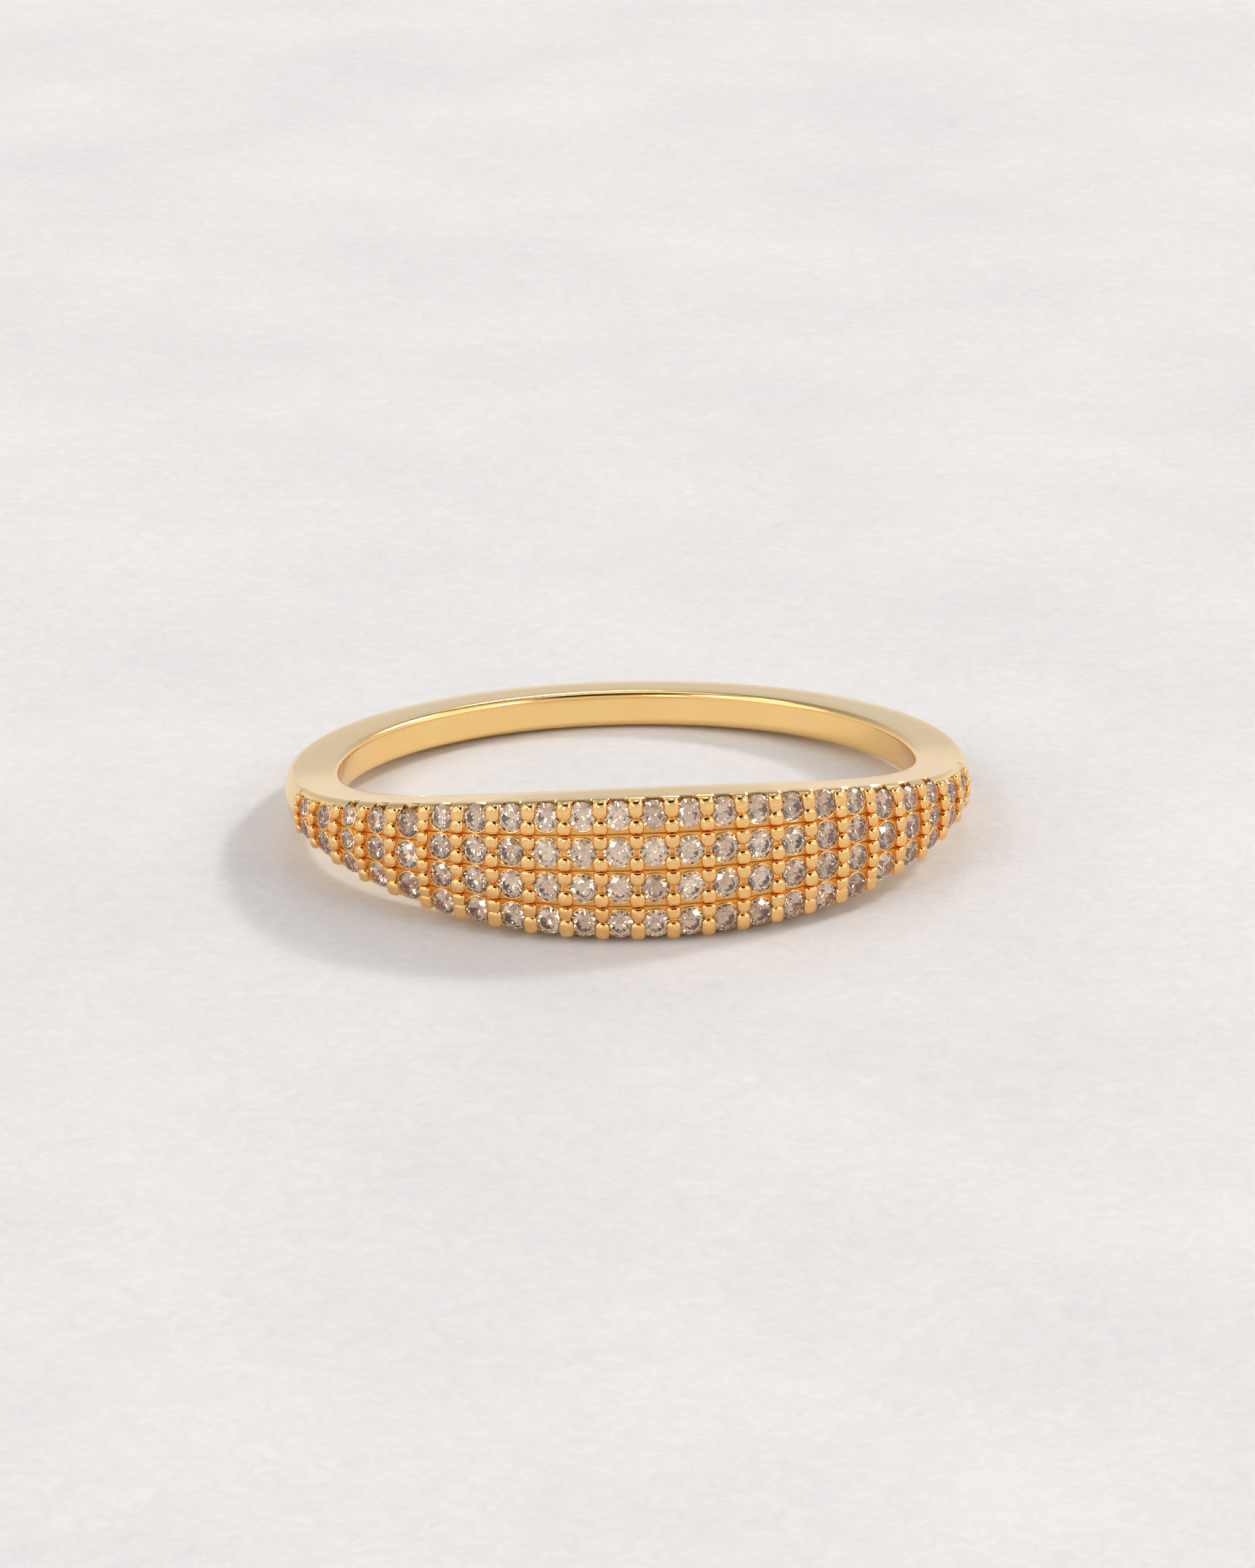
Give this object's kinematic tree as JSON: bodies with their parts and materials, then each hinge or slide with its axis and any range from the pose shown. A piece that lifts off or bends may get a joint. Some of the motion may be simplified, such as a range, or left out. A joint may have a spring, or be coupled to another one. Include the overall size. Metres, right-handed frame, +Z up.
{
  "type": "pave ring",
  "caption": "Tapered yellow gold finger ring whose broad front is pave set with small round clear stones in straight columns between gold beads, lying on its side.",
  "frame": {"origin": "under the middle of the ring's bounding box, on the surface that it lies on", "axes": "+Z up from the surface; -Y towards the middle of the broad pave front; +X to the right of someone who looks at that front; the ring's own axis leans 4.6 degrees from +Z towards +Y, because the broad front props it up"},
  "size_m": [0.0202, 0.0204, 0.0042],
  "materials": {
    "band_gold": "mirror polished yellow gold",
    "pave_gold_and_stones": "polished yellow gold beads round clear stones with a faint champagne tint"
  },
  "bodies": {
    "root": {"band": "band_gold", "pave_field": "pave_gold_and_stones"}
  },
  "joints": []
}
